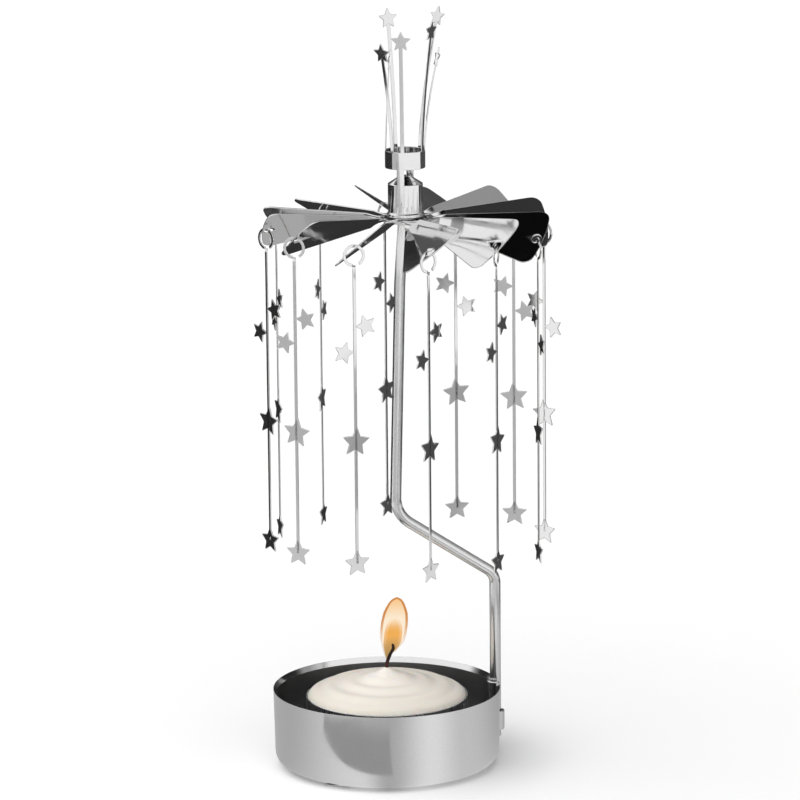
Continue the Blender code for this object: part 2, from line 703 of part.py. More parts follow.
def build_tealight(parent):
    """Pressed aluminium shell, wax with a melted mound, wick and wick tab."""
    floor = BASE_TOP + CLEARANCE
    rim = floor + TEALIGHT_HEIGHT
    middle = (TEALIGHT_RADIUS - TEALIGHT_CORNER, floor + TEALIGHT_CORNER)
    inside = arc(middle, TEALIGHT_CORNER - TEALIGHT_WALL, -math.pi / 2, 0, INNER_STEPS)
    outside = arc(middle, TEALIGHT_CORNER, 0, -math.pi / 2, INNER_STEPS)
    edge = [(TEALIGHT_RADIUS - TEALIGHT_WALL, rim), (TEALIGHT_RADIUS, rim)]
    shell = turned("tealight_cup", [(0, floor + TEALIGHT_WALL)] + inside + edge + outside + [(0, floor)],
                   CANDLE_STEPS)
    wax_floor = floor + TEALIGHT_WALL + CLEARANCE
    build_wax(wax_floor, rim, parent)
    neck = WICK_RADIUS + CLEARANCE
    tab_top = wax_floor + TAB_SHEET
    tab = turned("wick_sustainer", [
        (neck, wax_floor + TAB_NECK), (neck + TAB_SHEET, wax_floor + TAB_NECK),
        (neck + TAB_SHEET, tab_top), (TAB_RADIUS, tab_top), (TAB_RADIUS, wax_floor),
        (neck, wax_floor)], SMALL_STEPS, closed=True)
    peak = rim + WAX_MOUND
    points = [Vector((0, 0, wax_floor)), Vector((0, 0, peak - WICK_RADIUS))]
    points += [Vector((x * WICK_RADIUS * 2, 0, peak + WICK_RISE * z)) for x, z in WICK_CURL]
    wick = wire("candle_wick", points, [1] * (len(points) - 1) + [WICK_END], WICK_RADIUS, 1)
    for piece, look in ((shell, ALUMINIUM), (tab, ALUMINIUM), (wick, WICK)):
        dress(piece, look, parent)


def build_wax(floor, rim, parent):
    """Wax poured round the tab and wick, risen to a dome in the middle."""
    radius = TEALIGHT_RADIUS - TEALIGHT_WALL - CLEARANCE
    bore = WICK_RADIUS + CLEARANCE
    neck = WICK_RADIUS + TAB_SHEET + 2 * CLEARANCE
    tab_room = floor + TAB_SHEET + CLEARANCE
    neck_room = floor + TAB_NECK + CLEARANCE
    top = [(radius * r, rim + WAX_MOUND * h) for r, h in MOUND]
    wax = turned("candle_wax", [
        (bore, neck_room), (bore, rim + WAX_MOUND)] + top + [
        (radius, rim - CLEARANCE), (radius, floor + TEALIGHT_CORNER),
        (radius - TEALIGHT_CORNER, floor),
        (TAB_RADIUS + CLEARANCE, floor), (TAB_RADIUS + CLEARANCE, tab_room), (neck, tab_room),
        (neck, neck_room)], CANDLE_STEPS, closed=True)
    return dress(wax, WAX, parent)


clear_scene()
PARTS = new_collection("tealight_carousel")
STAND = axis_empty("stand", (0, 0, 0))
TEALIGHT = axis_empty("tealight", CUP_AXIS, STAND)
ROTOR = axis_empty("rotor", (0, 0, POINT_TOP), STAND)
build_cup(STAND)
build_post(STAND)
build_tealight(TEALIGHT)
build_hub(ROTOR)
build_wheel(ROTOR)
build_crown(ROTOR)
build_strands(ROTOR)
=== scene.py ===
"""Looks of the spinning tealight carousel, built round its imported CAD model.

Every piece is a surface computed from two parameters with whole arrays.  Metres, +Z up; the
origin is on the table below the needle point, and the photo looks along +Y.
"""
import json
import math

import bpy
import numpy as np
from mathutils import Matrix, Vector

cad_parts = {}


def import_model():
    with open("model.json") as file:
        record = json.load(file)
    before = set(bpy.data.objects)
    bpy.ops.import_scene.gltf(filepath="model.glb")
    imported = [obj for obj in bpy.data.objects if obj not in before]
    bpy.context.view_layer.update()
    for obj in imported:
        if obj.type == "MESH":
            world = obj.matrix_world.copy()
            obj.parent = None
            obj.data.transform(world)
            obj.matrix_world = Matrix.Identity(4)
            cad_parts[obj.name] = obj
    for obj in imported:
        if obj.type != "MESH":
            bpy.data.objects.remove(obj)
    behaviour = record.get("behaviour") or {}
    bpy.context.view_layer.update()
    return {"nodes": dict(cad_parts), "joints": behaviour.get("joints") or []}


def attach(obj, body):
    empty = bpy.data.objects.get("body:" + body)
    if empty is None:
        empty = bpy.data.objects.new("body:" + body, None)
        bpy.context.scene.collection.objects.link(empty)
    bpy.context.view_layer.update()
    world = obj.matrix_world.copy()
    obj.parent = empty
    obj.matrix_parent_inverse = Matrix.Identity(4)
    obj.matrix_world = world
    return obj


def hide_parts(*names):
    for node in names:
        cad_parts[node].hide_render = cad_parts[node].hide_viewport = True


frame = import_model()
JOINTS = {joint["name"]: joint for joint in frame["joints"]}
POINT_TOP = JOINTS["rotor_spin"]["pos_m"][2]

# Sizes shared with the CAD
CLEARANCE = 0.0003
CUP_AXIS = np.array((-0.0054, 0.0, 0.0))
CUP_RADIUS, CUP_TAPER, CUP_HEIGHT, CUP_WALL = 0.0267, 0.0003, 0.0185, 0.0005
CUP_CORNER, FOOT_LIFT, FOOT_RADIUS, FOOT_FLARE = 0.0032, 0.0008, 0.0016, 0.0008
FOOT_CIRCLE, FOOT_ANGLE, FOOT_COUNT = 0.0214, math.radians(238), 3
STRAP_BOTTOM, STRAP_HEIGHT, LANCE_SLIT, LANCE_WINDOW = 0.0064, 0.0046, 0.0006, 0.0015
SOCKET_BOTTOM, SADDLE_DROP = 0.0042, 0.0002
LIP_START, LIP_EDGE = 0.0172, 0.00006
ROD_RADIUS, POST_ANGLE = 0.0013, math.radians(12.5)
LOWER_BEND, UPPER_BEND, MAST_LEAN, KINK_HEIGHT, KINK_LEAN = 0.0442, 0.0602, 0.0030, 0.1150, 0.0015
BEND_RADII, POINT_LENGTH = (0.0042, 0.0075, 0.0600), 0.0040
WHEEL_HEIGHT, WHEEL_RADIUS, WHEEL_SHEET, BLADE_COUNT = 0.1305, 0.0335, 0.0003, 12
BLADE_START = math.radians(10.5)
BLADE_BENDS = ((37, 5.5), (37, 4.0), (33, 6.0), (37, 5.0), (29, 6.0), (33, 5.2),
               (37, 3.4), (37, 2.0), (41, 2.0), (37, 5.0), (37, 4.5), (37, 6.8))
BLADE_CORNER, BLADE_SLIT, WHEEL_RING, NECK_LENGTH = 0.0022, 0.0005, 0.0050, 0.0036
EYE_RADIUS, EYE_INSET, EYE_SHIFT = 0.0011, 0.0015, -0.0003
HUB_RADIUS, HUB_HEIGHT, HUB_LIP, HUB_LIP_HEIGHT = 0.00405, 0.0066, 0.0003, 0.0010
HUB_CONE, HUB_NOSE, SPIGOT_RADIUS = 0.0018, 0.0012, 0.0027
FLANGE_RADIUS, FLANGE_HEIGHT, BORE_RADIUS = 0.0039, 0.0007, 0.0022
BAND_SHEET, BAND_LIFT, BAND_HEIGHT = 0.0003, 0.0037, 0.0041
BAND_SEAM, BAND_SEAM_ANGLE, LEG_ANGLE = np.radians((6.0, 96.0, 256.0))
LEG_WIDTH, LEG_REACH = 0.0017, 0.0050
STEM_WIDTH, STEM_SHEET, STEM_ROOT, STEM_CURVE, CROWN_STAR = 0.0009, 0.00024, 0.0012, 1.5, 0.0025
STEMS = ((118, 0.0294, 0.0078), (174, 0.0207, 0.0034), (230, 0.0231, 0.0079), (262, 0.0257, 0.0056),
         (330, 0.0279, 0.0071), (12, 0.0211, 0.0077), (42, 0.0298, 0.0103))
STRAND_SHEET, STRIP_WIDTH, RING_BORE, RING_BAND = 0.0003, 0.0007, 0.0019, 0.00065
RING_SPLIT, RING_ROOT, MID_STAR_TURN = np.radians((24.0, 8.0, 12.0))
SIDE_STAR, MID_STAR, END_STAR, STAR_WAIST = 0.0027, 0.0036, 0.00325, 0.48
RIGHT_STAR_DROP, LEFT_STAR_DROP, MID_STAR_DROP, END_STAR_DROP = 0.0163, 0.0221, 0.0429, 0.0712
STRAND_TWISTS, TWIST_REACH = (5, 0, 0, 10, 0, 0, -5, -13, 9, 7, -15, 0), 0.0060
TEALIGHT_RADIUS, TEALIGHT_HEIGHT, TEALIGHT_WALL, TEALIGHT_CORNER = 0.0190, 0.0151, 0.0003, 0.0016
WAX_MOUND, WICK_RADIUS, WICK_RISE = 0.0066, 0.0007, 0.0057
MOUND = ((0.0, 1.0), (0.04, 0.98), (0.10, 0.86), (0.22, 0.72), (0.40, 0.58), (0.60, 0.47), (0.78, 0.36),
         (0.92, 0.21), (0.98, 0.10), (1.0, -0.02))
WICK_CURL = ((0.14, 0.25), (0.50, 0.49), (1.07, 0.70), (1.20, 0.85), (0.96, 1.0))

# Edges, ripples and cord of the visual model alone
SHEET_EDGE, STRIP_EDGE, BAND_EDGE, HUB_EDGE, FOOT_EDGE = 0.00006, 0.00008, 0.0001, 0.00018, 0.0005
POST_CHAMFER, CHAMFER_SHARE, NEEDLE_STEPS, NEEDLE_END, NEEDLE_POWER = 0.0003, 0.75, 12, 0.06, 0.9
SEAT_DEPTH, BORDER_STEP = 0.0008, 0.0005
STAR_CORNER, STAR_BEVEL, RIM_ROUNDING, STRAP_ROUNDING = 0.035, 0.22, 0.45, 0.4
RIPPLE_HEIGHT, RIPPLE_LENGTH, RIPPLE_PHASE = 0.00016, 0.0048, 0.6
RIPPLE_START, RIPPLE_FADE_IN, RIPPLE_FADE_OUT = 0.0025, 0.002, 0.003
WICK_CORE, WICK_LOBE, WICK_LOBES, WICK_TWIST = 0.70, 0.07, 3, 9
WICK_TAPER = ((0, 0.9), (0.85, 0.85), (0.97, 0.65), (1, 0.0))

# The flame by height: middle to the side of the candle's axis, and half its width
FLAME = ((0.0250, 0.0, 0.00005), (0.0254, 0.0, 0.0002), (0.0263, 0.0003, 0.0009),
         (0.0274, 0.0008, 0.0017), (0.0286, 0.0012, 0.0024), (0.0297, 0.00145, 0.00285),
         (0.0319, 0.0017, 0.00315), (0.0341, 0.00195, 0.00317), (0.0363, 0.0022, 0.00287),
         (0.0374, 0.0023, 0.00246), (0.0385, 0.0024, 0.00195), (0.0392, 0.0025, 0.0015),
         (0.03966, 0.00255, 0.00111), (0.03995, 0.00255, 0.00065), (0.0401, 0.00255, 0.0))
FLAME_ROWS, FLAME_SIDES, FLAME_WINDOW = 49, 48, 0.0003

# Colours, and the marks of the metals
CHROME_NOISES = ((160.0, 3.0), (2600.0, 2.0), (70.0, 1.0))
CHROME_ROUGHNESS, CHROME_TONES, CHROME_DENTS = (0.035, 0.11), (0.96, 1.0), (0.10, 0.0006)
CLOUD_SPAN, GRAIN_SPAN = (0.35, 0.75), (0.3, 0.7)
FOIL_COLOUR, FOIL_ROUGHNESS, DRAW_LINES = (0.84, 0.84, 0.85, 1), (0.20, 0.36), (900.0, 900.0, 40.0)
WAX_MIDDLE, WAX_RIM, WAX_PALE_RADIUS = (0.84, 0.80, 0.74), (0.76, 0.71, 0.63), 0.006
WAX_SCATTER = (0.004, 0.0025, 0.0015)
WICK_ROOT, WICK_END = (0.05, 0.010, 0.005), (0.008, 0.0015, 0.001)
ORANGE, CREAM, GOLD, OLIVE = (0.60, 0.23, 0.04), (1.0, 0.87, 0.68), (0.87, 0.40, 0.06), (0.36, 0.25, 0.10)
RIM_COLOURS = ((0, OLIVE), (0.25, (0.85, 0.60, 0.36)), (0.50, (0.72, 0.34, 0.10)), (0.70, ORANGE))
RIM_COVERS = ((0, 0.25), (0.30, 0.55), (0.55, 0.90), (0.75, 0.97))
BODY_COLOURS = ((0, OLIVE), (0.16, (0.72, 0.42, 0.16)), (0.34, CREAM), (0.62, CREAM),
                (0.84, (0.98, 0.68, 0.40)), (1, (0.96, 0.55, 0.22)))
BODY_COVERS = ((0, 0.90), (1, 0.98))
CORE_COLOURS = ((0, OLIVE), (0.18, (0.52, 0.29, 0.09)), (0.36, GOLD), (0.52, GOLD),
                (0.7, (0.98, 0.66, 0.36)))
CORE_COVERS = ((0, 0.60), (0.42, 0.78), (0.54, 0.42), (0.68, 0.0))
# Flame layers: name, shells as size and two shares of the height, colours, covers, near side's share
FLAME_LAYERS = (("flame_rim", ((1.0, 0, 1),), RIM_COLOURS, RIM_COVERS, 0.02),
                ("flame_body", ((0.82, 0.01, 0.97),), BODY_COLOURS, BODY_COVERS, 0.01),
                ("flame_core", ((0.66, 0.03, 0.70), (0.46, 0.04, 0.66)), CORE_COLOURS, CORE_COVERS, 0.0))

BASE_TOP = FOOT_LIFT + CUP_WALL
SOCKET_BAND = ROD_RADIUS + CLEARANCE + CUP_WALL / 2
SIDE_TOP = WHEEL_HEIGHT + WHEEL_SHEET / 2 + CLEARANCE + HUB_LIP_HEIGHT + HUB_HEIGHT
BAND_RADIUS = HUB_RADIUS + CLEARANCE + BAND_SHEET / 2
BAND_BOTTOM = SIDE_TOP + BAND_LIFT
BAND_TOP = BAND_BOTTOM + BAND_HEIGHT
TEALIGHT_FLOOR = BASE_TOP + CLEARANCE
TEALIGHT_RIM = TEALIGHT_FLOOR + TEALIGHT_HEIGHT
WAX_PEAK = TEALIGHT_RIM + WAX_MOUND

# Photo camera
CAMERA_AIM = Vector((-0.00168, 0.0, 0.08747))
CAMERA_DISTANCE, CAMERA_RISE, CAMERA_ROLL = 1.12409, math.radians(12.32), math.radians(-0.53)
CAMERA_LENS, CAMERA_FILM, CAMERA_REACH = 217.72, 36.0, 20.0

# Tones of the studio as the metal sees it
WALL_TONE, RIGHT_TONE, BACK_TONE, HORIZON_TONE = 1.0, 0.35, 0.10, 0.02
LEFT_CEILING, RIGHT_CEILING = 0.004, 0.05
CARD_STEP = 0.0002
# Paper round the cup: dim at the far left, ahead and at the back, with a soft light on either side
# of the front and a grey right side, as degrees to the right of the front and tone
CUP_PAPER_RADIUS, CUP_PAPER_MIDDLE = 0.105, (-0.0054, -0.0134)
CUP_TONES = ((-110, 0.47), (-28, 0.80), (2, 0.47), (46, 0.86), (80, 0.64), (150, 0.40))


# Arrays

def polar(centre, radius, start, end, steps):
    """Points on a circle: centre plus radius times cosine and sine of an even run of angles."""
    turn = np.linspace(start, end, steps + 1)
    return np.stack((centre[0] + radius * np.cos(turn), centre[1] + radius * np.sin(turn)), 1)


def rounded(corners, radius, steps=5, closed=False):
    """A polyline with every corner replaced by an arc of that radius, and a support point on
    either side of the arc so that the flats between arcs keep flat shading.  An arc takes less
    than half of a run between two corners, and most of a run with a free end."""
    half_run, free_run, support = 0.45, 0.85, 1.15
    points = np.asarray(corners, float)
    radii = np.broadcast_to(radius, len(points))
    runs = []
    for i, corner in enumerate(points):
        if not closed and i in (0, len(points) - 1):
            runs.append(corner[None])
            continue
        before, after = points[i - 1] - corner, points[(i + 1) % len(points)] - corner
        to_before, to_after = before / np.linalg.norm(before), after / np.linalg.norm(after)
        half = math.acos(np.clip(to_before @ to_after, -1, 1)) / 2
        first, last = not closed and i == 1, not closed and i == len(points) - 2
        room = min((free_run if first else half_run) * np.linalg.norm(before),
                   (free_run if last else half_run) * np.linalg.norm(after))
        reach = min(radii[i] / math.tan(half), room)
        between = to_before + to_after
        middle = corner + between / np.linalg.norm(between) * reach / math.cos(half)
        share = np.linspace(0, 1, steps + 1)[:, None]
        chord = corner + to_before * reach * (1 - share) ** 2 + to_after * reach * share ** 2
        spoke = chord - middle
        arc = middle + spoke / np.linalg.norm(spoke, axis=1)[:, None] * reach * math.tan(half)
        runs += [corner[None] + to_before * reach * support, arc, corner[None] + to_after * reach * support]
    return np.concatenate(runs)


def grid(points, wrap_rows=False, wrap_columns=False):
    """Vertices and quads of a surface sampled on rows by columns, closed either way if asked."""
    rows, columns = points.shape[:2]
    index = np.arange(rows * columns).reshape(rows, columns)
    if wrap_rows:
        index = np.concatenate((index, index[:1]), 0)
    if wrap_columns:
        index = np.concatenate((index, index[:, :1]), 1)
    quads = np.stack((index[:-1, :-1], index[1:, :-1], index[1:, 1:], index[:-1, 1:]), -1)
    return points.reshape(-1, 3), quads.reshape(-1, 4)


def lathe(profile, steps=192, place=(0, 0, 0)):
    """(radius, height) points turned about an upright axis: x and y are radius times the cosine
    and sine of the turn, z is the height."""
    turn = np.arange(steps) * math.tau / steps
    r, z = profile[:, :1], profile[:, 1:]
    points = np.stack((r * np.cos(turn), r * np.sin(turn), z + 0 * turn), -1)
    return grid(points[:, ::-1] + np.asarray(place), wrap_columns=True)


def section(width, height, radius, steps=3):
    """A closed rectangle with rounded corners, about its own middle."""
    w, h = width / 2, height / 2
    return rounded(((w, h), (-w, h), (-w, -h), (w, -h)), radius, steps, closed=True)


def sweep(path, across, up, shape, scale=None):
    """A closed section carried along a path: each point is the path's point plus the section's
    first coordinate along one vector and its second along the other.  The ends are closed by
    shrinking the section to its middle."""
    scale = np.ones(len(path)) if scale is None else scale
    path = np.concatenate((path[:1], path, path[-1:]))
    across, up = (np.broadcast_to(v, (len(path) - 2, 3)) for v in (across, up))
    across, up = (np.concatenate((v[:1], v, v[-1:])) for v in (across, up))
    scale = np.concatenate(((0,), scale, (0,)))[:, None, None]
    offset = across[:, None] * shape[None, :, :1] + up[:, None] * shape[None, :, 1:]
    return grid(path[:, None] + offset * scale, wrap_columns=True)


def star_corners(radius, turn):
    """Ten corners of a five-pointed star, one point of it in the direction of turn."""
    angle = turn + np.arange(10) * math.pi / 5
    reach = np.where(np.arange(10) % 2 == 0, radius, radius * STAR_WAIST)
    return np.stack((reach * np.cos(angle), reach * np.sin(angle)), 1)


def star(radius, turn, thickness, middle, across, up):
    """A stamped star: its rounded outline scaled from nothing to full on the front, carried over
    a small bevel to the back, and scaled to nothing again."""
    outline = rounded(star_corners(radius, turn), radius * STAR_CORNER, 2, closed=True)
    bevel = STAR_BEVEL * thickness
    inset = 1 - bevel / radius
    # Rows from the middle of the front to its edge: share of the outline, share of half the thickness
    size = np.array((0, 0.5, 0.93 * inset, inset, 0.35 * inset + 0.65, 1))
    lift = np.array((1, 1, 1, 1, 0.80, 0.50)) * thickness / 2
    size, lift = np.concatenate((size, size[::-1])), np.concatenate((lift, -lift[::-1]))
    flat = size[:, None, None] * outline[None]
    normal = np.cross(across, up)
    points = middle + flat[..., :1] * across + flat[..., 1:] * up + lift[:, None, None] * normal
    return grid(points, wrap_columns=True)


def piece(name, parts, look, body, nodes):
    """One object from several surfaces, smooth, riding a body in place of its CAD nodes."""
    shift = np.cumsum([0] + [len(verts) for verts, _ in parts[:-1]])
    verts = np.concatenate([verts for verts, _ in parts])
    quads = np.concatenate([quads + start for (_, quads), start in zip(parts, shift)])
    mesh = bpy.data.meshes.new(name)
    mesh.vertices.add(len(verts))
    mesh.vertices.foreach_set("co", verts.astype(np.float32).ravel())
    mesh.loops.add(quads.size)
    mesh.loops.foreach_set("vertex_index", quads.astype(np.int32).ravel())
    mesh.polygons.add(len(quads))
    mesh.polygons.foreach_set("loop_start", np.arange(0, quads.size, 4, dtype=np.int32))
    mesh.update(calc_edges=True)
    mesh.shade_smooth()
    mesh.materials.append(look)
    made = bpy.data.objects.new(name, mesh)
    bpy.context.scene.collection.objects.link(made)
    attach(made, body)
    if nodes:
        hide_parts(*nodes)
    return made


# Materials

class Shader:
    """Adds and links nodes of one tree in short calls."""

    def __init__(self, tree):
        self.tree = tree

    def feed(self, node, values):
        """Fills a node's inputs: a socket is linked and a plain value is set."""
        for key, value in dict(values).items():
            if isinstance(value, bpy.types.NodeSocket):
                self.tree.links.new(value, node.inputs[key])
            else:
                node.inputs[key].default_value = value

    def add(self, kind, values=(), **settings):
        """A new node with its settings and inputs."""
        node = self.tree.nodes.new(kind)
        for key, value in settings.items():
            setattr(node, key, value)
        self.feed(node, values)
        return node

    def place(self):
        """The point in the object's own coordinates."""
        return self.add("ShaderNodeTexCoord").outputs["Object"]

    def height(self):
        """The point's height above the table."""
        return self.add("ShaderNodeSeparateXYZ", {0: self.place()}).outputs["Z"]

    def noise(self, place, scale, detail):
        """Layered noise between 0 and 1."""
        return self.add("ShaderNodeTexNoise", {"Vector": place, "Scale": scale, "Detail": detail}).outputs[0]

    def rise(self, value, start, end, low=0.0, high=1.0, **settings):
        """Low up to the start, high from the end on, and even between."""
        span = {"Value": value, "From Min": start, "From Max": end, "To Min": low, "To Max": high}
        return self.add("ShaderNodeMapRange", span, **settings).outputs[0]

    def maths(self, operation, first, second):
        """One sum on two values."""
        return self.add("ShaderNodeMath", {0: first, 1: second}, operation=operation).outputs[0]

    def vector(self, operation, first, second=(0, 0, 0), output="Vector"):
        """One sum on two vectors."""
        return self.add("ShaderNodeVectorMath", {0: first, 1: second}, operation=operation).outputs[output]

    def bump(self, height, strength, distance):
        """A normal that follows small changes of height."""
        values = {"Height": height, "Strength": strength, "Distance": distance}
        return self.add("ShaderNodeBump", values).outputs[0]

    def ramp(self, factor, stops, way="LINEAR"):
        """A colour ramp through (position, colour) stops, straight or eased between them."""
        node = self.add("ShaderNodeValToRGB", {"Fac": factor})
        node.color_ramp.interpolation = way
        elements = node.color_ramp.elements
        for at, _ in stops[2:]:
            elements.new(at)
        for element, (at, colour) in zip(elements, stops):
            element.position, element.color = at, (*colour, 1)
        return node.outputs[0]

    def blend(self, factor, low, high):
        """Low where the factor is 0 and high where it is 1."""
        return self.add("ShaderNodeMix", {"Factor": factor, 2: low, 3: high}, data_type="FLOAT").outputs[0]


def material(name):
    """A new material, its node helper and its Principled shader."""
    made = bpy.data.materials.new(name)
    made.use_nodes = True
    return made, Shader(made.node_tree), made.node_tree.nodes["Principled BSDF"]


def grey(tone):
    """The same tone for red, green and blue."""
    return (tone, tone, tone)


def wear_group():
    """Handling marks for bright metal: outputs a roughness value, a small colour value and a
    bump normal from layered noise in object space."""
    tree = bpy.data.node_groups.new("handling_marks", "ShaderNodeTree")
    for name, kind in (("Roughness", "Float"), ("Tone", "Float"), ("Normal", "Vector")):
        tree.interface.new_socket(name, in_out="OUTPUT", socket_type="NodeSocket" + kind)
    nodes = Shader(tree)
    place = nodes.place()
    cloud, grain, wave = (nodes.noise(place, scale, detail) for scale, detail in CHROME_NOISES)
    nodes.add("NodeGroupOutput", {"Roughness": nodes.rise(cloud, *CLOUD_SPAN, *CHROME_ROUGHNESS),
                                  "Tone": nodes.rise(grain, *GRAIN_SPAN, *CHROME_TONES),
                                  "Normal": nodes.bump(wave, *CHROME_DENTS)})
    return tree


def chrome(name, marks, bright=0.80, satin=0.0):
    """Bright plating with faint handling marks; satin adds to its roughness."""
    made, nodes, shader = material(name)
    wear = nodes.add("ShaderNodeGroup", node_tree=marks).outputs
    nodes.feed(shader, {"Base Color": nodes.maths("MULTIPLY", wear["Tone"], bright), "Metallic": 1.0,
                        "Roughness": nodes.maths("ADD", wear["Roughness"], satin),
                        "Normal": wear["Normal"]})
    return made


def aluminium():
    """Drawn foil: soft shine with fine upright draw lines."""
    made, nodes, shader = material("tealight_foil")
    stretch = nodes.add("ShaderNodeMapping", {"Vector": nodes.place(), "Scale": DRAW_LINES}).outputs[0]
    lines = nodes.noise(stretch, 1.0, 2.0)
    nodes.feed(shader, {"Base Color": FOIL_COLOUR, "Metallic": 1.0,
                        "Roughness": nodes.rise(lines, 0.0, 1.0, *FOIL_ROUGHNESS),
                        "Normal": nodes.bump(lines, 0.15, 0.0001)})
    return made


def wax():
    """Ivory wax: scattering below a satin skin, a little warmer towards the rim."""
    made, nodes, shader = material("ivory_wax")
    place = nodes.place()
    flat = nodes.vector("MULTIPLY", nodes.vector("SUBTRACT", place, tuple(CUP_AXIS)), (1, 1, 0))
    edge = nodes.rise(nodes.vector("LENGTH", flat, output="Value"), WAX_PALE_RADIUS, TEALIGHT_RADIUS)
    cloud = nodes.noise(place, 260.0, 2.0)
    share = nodes.maths("MULTIPLY", edge, nodes.blend(cloud, 0.6, 1.2))
    nodes.feed(shader, {"Base Color": nodes.ramp(share, ((0, WAX_MIDDLE), (1, WAX_RIM))), "Roughness": 0.42,
                        "Subsurface Weight": 0.5, "Subsurface Radius": WAX_SCATTER,
                        "Subsurface Scale": 0.5, "Normal": nodes.bump(cloud, 0.08, 0.0004)})
    return made


def charred():
    """Burnt cotton, blacker towards its end."""
    made, nodes, shader = material("charred_wick")
    fibre = nodes.noise(nodes.place(), 3000.0, 3.0)
    burnt = nodes.rise(nodes.height(), WAX_PEAK, WAX_PEAK + WICK_RISE)
    share = nodes.maths("MULTIPLY", burnt, nodes.blend(fibre, 0.7, 1.3))
    nodes.feed(shader, {"Base Color": nodes.ramp(share, ((0, WICK_ROOT), (0.5, WICK_END))),
                        "Roughness": 0.9, "Normal": nodes.bump(fibre, 0.5, 0.0002)})
    return made


def flame_look(name, colours, covers, front):
    """Glowing gas: colour and cover follow the height in the flame, and the near side covers only
    a share of what the far side does, so the layers inside it show."""
    made, nodes, shader = material(name)
    share = nodes.rise(nodes.height(), FLAME[0][0], FLAME[-1][0])
    cover = nodes.ramp(share, [(at, grey(value)) for at, value in covers])
    back = nodes.add("ShaderNodeNewGeometry").outputs["Backfacing"]
    nodes.feed(shader, {"Emission Color": nodes.ramp(share, colours), "Emission Strength": 1.0,
                        "Alpha": nodes.maths("MULTIPLY", cover, nodes.blend(back, front, 1.0)),
                        "Base Color": (0, 0, 0, 1), "Roughness": 1.0, "Specular IOR Level": 0.0})
    return made


# Candle cup and post

def post_place():
    """The leg's middle on plan, on the middle of the cup's wall, and the way out from the cup."""
    away = np.array((math.cos(POST_ANGLE), math.sin(POST_ANGLE), 0))
    return CUP_AXIS + away * (CUP_RADIUS - CUP_TAPER / 2 - CUP_WALL / 2), away


def wall_radius(z):
    """Outside of the cup's wall, tapering evenly from the rim to the base."""
    return CUP_RADIUS - CUP_TAPER * (CUP_HEIGHT - z) / (CUP_HEIGHT - FOOT_LIFT - CUP_CORNER)


def cup_sheet(low, high):
    """A profile turned about the cup's axis: all round below the socket, and above it all round
    except for the window that the strap and the saddles fill."""
    window = SOCKET_BAND / CUP_RADIUS
    turn = np.linspace(POST_ANGLE + window, POST_ANGLE + math.tau - window, 257)[::-1]
    radius, height = high[:, :1], high[:, 1:]
    points = np.stack((radius * np.cos(turn), radius * np.sin(turn), height + 0 * turn), -1)
    return [lathe(low, 256, CUP_AXIS), grid(points + CUP_AXIS)]


def cup_inside():
    """Floor, corner and wall of the dish up to its flared lip."""
    low, foot, flare = (wall_radius(z) - CUP_WALL for z in (SOCKET_BOTTOM, FOOT_LIFT, LIP_START))
    floor = rounded(((0, BASE_TOP), (foot, BASE_TOP), (low, SOCKET_BOTTOM)), CUP_CORNER - CUP_WALL, 10)
    return cup_sheet(floor, np.array(((low, SOCKET_BOTTOM), (flare, LIP_START))))


def cup_outside():
    """The flared lip, the wall, the corner and the underside, with the socket's strips and the feet."""
    low, foot, flare = (wall_radius(z) for z in (SOCKET_BOTTOM, FOOT_LIFT, LIP_START))
    wall = rounded(((flare - CUP_WALL, LIP_START), (CUP_RADIUS - LIP_EDGE, CUP_HEIGHT),
                    (CUP_RADIUS, CUP_HEIGHT), (low, SOCKET_BOTTOM)), LIP_EDGE * RIM_ROUNDING, 5)
    under = rounded(((low, SOCKET_BOTTOM), (foot, FOOT_LIFT), (0, FOOT_LIFT)), CUP_CORNER, 10)
    return cup_sheet(under, wall) + socket_strips() + feet()


def socket_strips():
    """Strap and saddles: a rounded strip of the wall's thickness carried round half a circle about
    the post, outwards for the strap and inwards for the saddles."""
    place, away = post_place()
    side = np.array((-away[1], away[0], 0))
    strap_top = STRAP_BOTTOM + STRAP_HEIGHT
    spans = ((STRAP_BOTTOM, strap_top, 1), (SOCKET_BOTTOM, STRAP_BOTTOM - LANCE_SLIT, -1),
             (strap_top + LANCE_WINDOW, CUP_HEIGHT - SADDLE_DROP, -1))
    turn = np.linspace(-math.pi / 2, math.pi / 2, 25)[:, None]
    strips = []
    for low, high, way in spans:
        spoke = away * way * np.cos(turn) + side * np.sin(turn)
        path = place + spoke * SOCKET_BAND + np.array((0, 0, (low + high) / 2))
        shape = section(CUP_WALL, high - low, CUP_WALL * STRAP_ROUNDING)
        strips.append(sweep(path, spoke, np.array((0, 0, way)), shape))
    return strips


def feet():
    """Pressed feet: a small rounded cone turned about each foot's own axis."""
    profile = rounded(((FOOT_RADIUS + 2 * FOOT_FLARE, FOOT_LIFT), (FOOT_RADIUS + FOOT_FLARE, FOOT_LIFT),
                       (FOOT_RADIUS, 0), (0, 0)), FOOT_EDGE, 5)
    turns = FOOT_ANGLE + np.arange(FOOT_COUNT) * math.tau / FOOT_COUNT
    spokes = np.stack((np.cos(turns), np.sin(turns), 0 * turns), 1)
    return [lathe(profile, 48, CUP_AXIS + FOOT_CIRCLE * spoke) for spoke in spokes]


